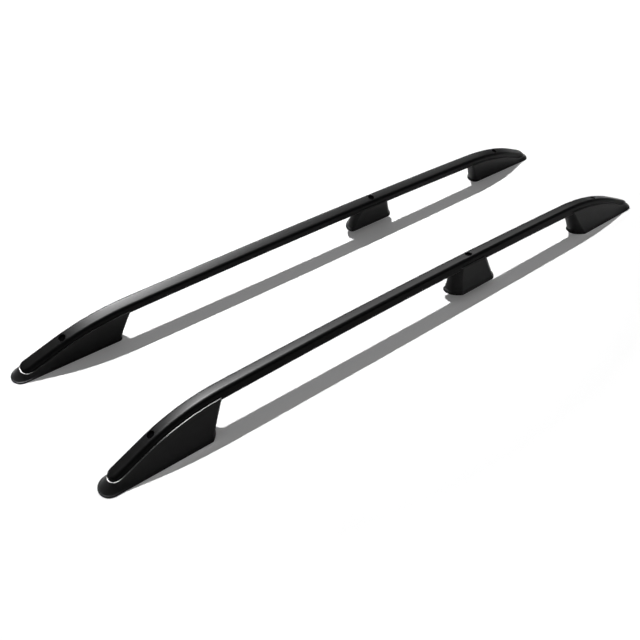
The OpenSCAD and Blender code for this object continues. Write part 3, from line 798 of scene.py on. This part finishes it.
class Nodes:
    """A material's node tree, with short calls for the nodes it uses."""

    def __init__(self, name):
        self.material = bpy.data.materials.new(name)
        self.material.use_nodes = True
        self.tree = self.material.node_tree
        self.shader = self.tree.nodes["Principled BSDF"]
        self.place = self.tree.nodes.new("ShaderNodeTexCoord").outputs["Object"]

    def noise(self, scale, detail=NOISE_DETAIL):
        node = self.tree.nodes.new("ShaderNodeTexNoise")
        node.inputs["Scale"].default_value = scale
        node.inputs["Detail"].default_value = detail
        self.tree.links.new(self.place, node.inputs["Vector"])
        return node.outputs["Fac"]

    def cells(self, scale):
        node = self.tree.nodes.new("ShaderNodeTexVoronoi")
        node.inputs["Scale"].default_value = scale
        self.tree.links.new(self.place, node.inputs["Vector"])
        return node.outputs["Distance"]

    def spread(self, value, low, high):
        """A noise's value, spread from low to high."""
        node = self.tree.nodes.new("ShaderNodeMapRange")
        node.inputs["From Min"].default_value = NOISE_LOW
        node.inputs["From Max"].default_value = NOISE_HIGH
        node.inputs["To Min"].default_value = low
        node.inputs["To Max"].default_value = high
        self.tree.links.new(value, node.inputs["Value"])
        return node.outputs["Result"]

    def tint(self, value, dark, light):
        node = self.tree.nodes.new("ShaderNodeMix")
        node.data_type = "RGBA"
        node.inputs["A"].default_value = (*dark, 1.0)
        node.inputs["B"].default_value = (*light, 1.0)
        self.tree.links.new(self.spread(value, 0.0, 1.0), node.inputs["Factor"])
        self.tree.links.new(node.outputs["Result"], self.shader.inputs["Base Color"])

    def rough(self, value, low, high):
        self.tree.links.new(self.spread(value, low, high), self.shader.inputs["Roughness"])

    def lip(self, socket, polished):
        """Moves the shader's socket towards a polished value by a point's share of the lip."""
        mark = self.tree.nodes.new("ShaderNodeAttribute")
        mark.attribute_name = "lip"
        node = self.tree.nodes.new("ShaderNodeMix")
        node.inputs["B"].default_value = polished
        self.tree.links.new(mark.outputs["Fac"], node.inputs["Factor"])
        target = self.shader.inputs[socket]
        if target.is_linked:
            self.tree.links.new(target.links[0].from_socket, node.inputs["A"])
        else:
            node.inputs["A"].default_value = target.default_value
        self.tree.links.new(node.outputs["Result"], target)

    def bump(self, value, depth, strength):
        node = self.tree.nodes.new("ShaderNodeBump")
        node.inputs["Distance"].default_value = depth
        node.inputs["Strength"].default_value = strength
        self.tree.links.new(value, node.inputs["Height"])
        self.tree.links.new(node.outputs["Normal"], self.shader.inputs["Normal"])


def surface(name):
    """The material of the finish of that name."""
    finish = FINISHES[name]
    m = Nodes(name)
    m.tint(m.noise(finish.colour_scale), finish.dark, finish.light)
    m.rough(m.noise(finish.rough_scale, finish.rough_detail), finish.smooth, finish.rough)
    grain = m.cells if finish.cells else m.noise
    m.bump(grain(finish.grain_scale), finish.depth, finish.strength)
    m.shader.inputs["Specular IOR Level"].default_value = finish.shine
    m.shader.inputs["Metallic"].default_value = finish.metallic
    if finish.lipped:
        for socket, polished in LIP_POLISH.items():
            m.lip(socket, polished)
    return m.material


def camera():
    """The camera, turned by its roll about the way it looks."""
    data = bpy.data.cameras.new("camera")
    data.sensor_width = SENSOR_MM
    data.lens = LENS_MM
    data.clip_end = CLIP_END
    obj = bpy.data.objects.new("camera", data)
    bpy.context.scene.collection.objects.link(obj)
    ahead = Vector((cos(HEADING) * cos(PITCH_DOWN), sin(HEADING) * cos(PITCH_DOWN), -sin(PITCH_DOWN)))
    right = Vector((sin(HEADING), -cos(HEADING), 0.0))
    up = right.cross(ahead)
    right_r = cos(ROLL) * right + sin(ROLL) * up
    up_r = -sin(ROLL) * right + cos(ROLL) * up
    turn = Matrix((right_r, up_r, -ahead)).transposed().to_4x4()
    obj.matrix_world = Matrix.Translation(CAMERA_AT) @ turn
    bpy.context.scene.camera = obj


def key_lamp():
    """A small round lamp that points at the middle of the pair."""
    data = bpy.data.lights.new("key", "AREA")
    data.shape = "DISK"
    data.size = KEY_SIZE
    data.energy = KEY_WATTS
    obj = bpy.data.objects.new("key", data)
    obj.location = KEY_AT
    obj.rotation_euler = (-KEY_AT).to_track_quat("-Z", "Y").to_euler()
    bpy.context.scene.collection.objects.link(obj)


def card_lamp(number, at, size, watts):
    """A level card that faces down and shows in reflections alone."""
    data = bpy.data.lights.new(f"card_{number}", "AREA")
    data.shape = "RECTANGLE"
    data.size, data.size_y = size
    data.energy = watts
    obj = bpy.data.objects.new(f"card_{number}", data)
    obj.location = at
    obj.visible_diffuse = False
    obj.visible_transmission = False
    bpy.context.scene.collection.objects.link(obj)


def seen_directly(tree):
    """1 for rays from the camera, from a reflection or through glass, and 0 for all others."""
    path = tree.nodes.new("ShaderNodeLightPath")
    seen = path.outputs["Is Camera Ray"]
    for other in ("Is Glossy Ray", "Is Transmission Ray"):
        either = tree.nodes.new("ShaderNodeMath")
        either.operation = "MAXIMUM"
        tree.links.new(seen, either.inputs[0])
        tree.links.new(path.outputs[other], either.inputs[1])
        seen = either.outputs[0]
    return seen


def world():
    """Even white light from all round."""
    sky = bpy.data.worlds.new("world")
    bpy.context.scene.world = sky
    sky.use_nodes = True
    back = sky.node_tree.nodes["Background"]
    back.inputs["Color"].default_value = (1.0, 1.0, 1.0, 1.0)
    back.inputs["Strength"].default_value = FILL


def floor():
    """White floor that keeps the rails' shadows. Where it is seen it is lifted a little, and
    more and more away from the pair, so that it stays white where the key lamp fades."""
    mesh = bpy.data.meshes.new("floor")
    s = FLOOR_HALF
    mesh.from_pydata([(-s, -s, 0), (s, -s, 0), (s, s, 0), (-s, s, 0)], [], [(0, 1, 2, 3)])
    obj = bpy.data.objects.new("floor", mesh)
    bpy.context.scene.collection.objects.link(obj)
    mat = bpy.data.materials.new("floor")
    mat.use_nodes = True
    tree = mat.node_tree
    shader = tree.nodes["Principled BSDF"]
    shader.inputs["Base Color"].default_value = (FLOOR_WHITE, FLOOR_WHITE, FLOOR_WHITE, 1)
    shader.inputs["Roughness"].default_value = FLOOR_ROUGH
    shader.inputs["Specular IOR Level"].default_value = 0.0
    shader.inputs["Emission Color"].default_value = (1, 1, 1, 1)
    place = tree.nodes.new("ShaderNodeTexCoord")
    squeeze = tree.nodes.new("ShaderNodeVectorMath")
    squeeze.operation = "DIVIDE"
    squeeze.inputs[1].default_value = (*OVAL, 1.0)
    tree.links.new(place.outputs["Object"], squeeze.inputs[0])
    away = tree.nodes.new("ShaderNodeVectorMath")
    away.operation = "LENGTH"
    tree.links.new(squeeze.outputs["Vector"], away.inputs[0])
    level = tree.nodes.new("ShaderNodeMapRange")
    level.inputs["From Min"].default_value = 1.0
    level.inputs["From Max"].default_value = OVAL_FAR
    level.inputs["To Min"].default_value = FLOOR_LIFT
    level.inputs["To Max"].default_value = FLOOR_LIFT_FAR
    tree.links.new(away.outputs["Value"], level.inputs["Value"])
    lift = tree.nodes.new("ShaderNodeMath")
    lift.operation = "MULTIPLY"
    tree.links.new(level.outputs["Result"], lift.inputs[0])
    tree.links.new(seen_directly(tree), lift.inputs[1])
    tree.links.new(lift.outputs[0], shader.inputs["Emission Strength"])
    mesh.materials.append(mat)


camera()
world()
floor()
key_lamp()
for number, card in enumerate(CARDS):
    card_lamp(number, *card)

materials = {name: surface(name) for name in FINISHES}
place_pair("bar", bar_shape(), "bar_paint")
for key, foot in FEET.items():
    place_pair(f"{key}_foot", foot_shape(foot), "foot_plastic")
    place_pair(f"{key}_gasket", gasket_shape(foot), "gasket_rubber")
    place_pair(f"{key}_plug", plug_shape(foot.hole_x), "plug_plastic")
for name, obj in frame["nodes"].items():
    for ending, finish in FIXINGS.items():
        if name.endswith(ending):
            for slot in obj.material_slots:
                slot.material = materials[finish]
bpy.context.scene.view_settings.view_transform = "Standard"
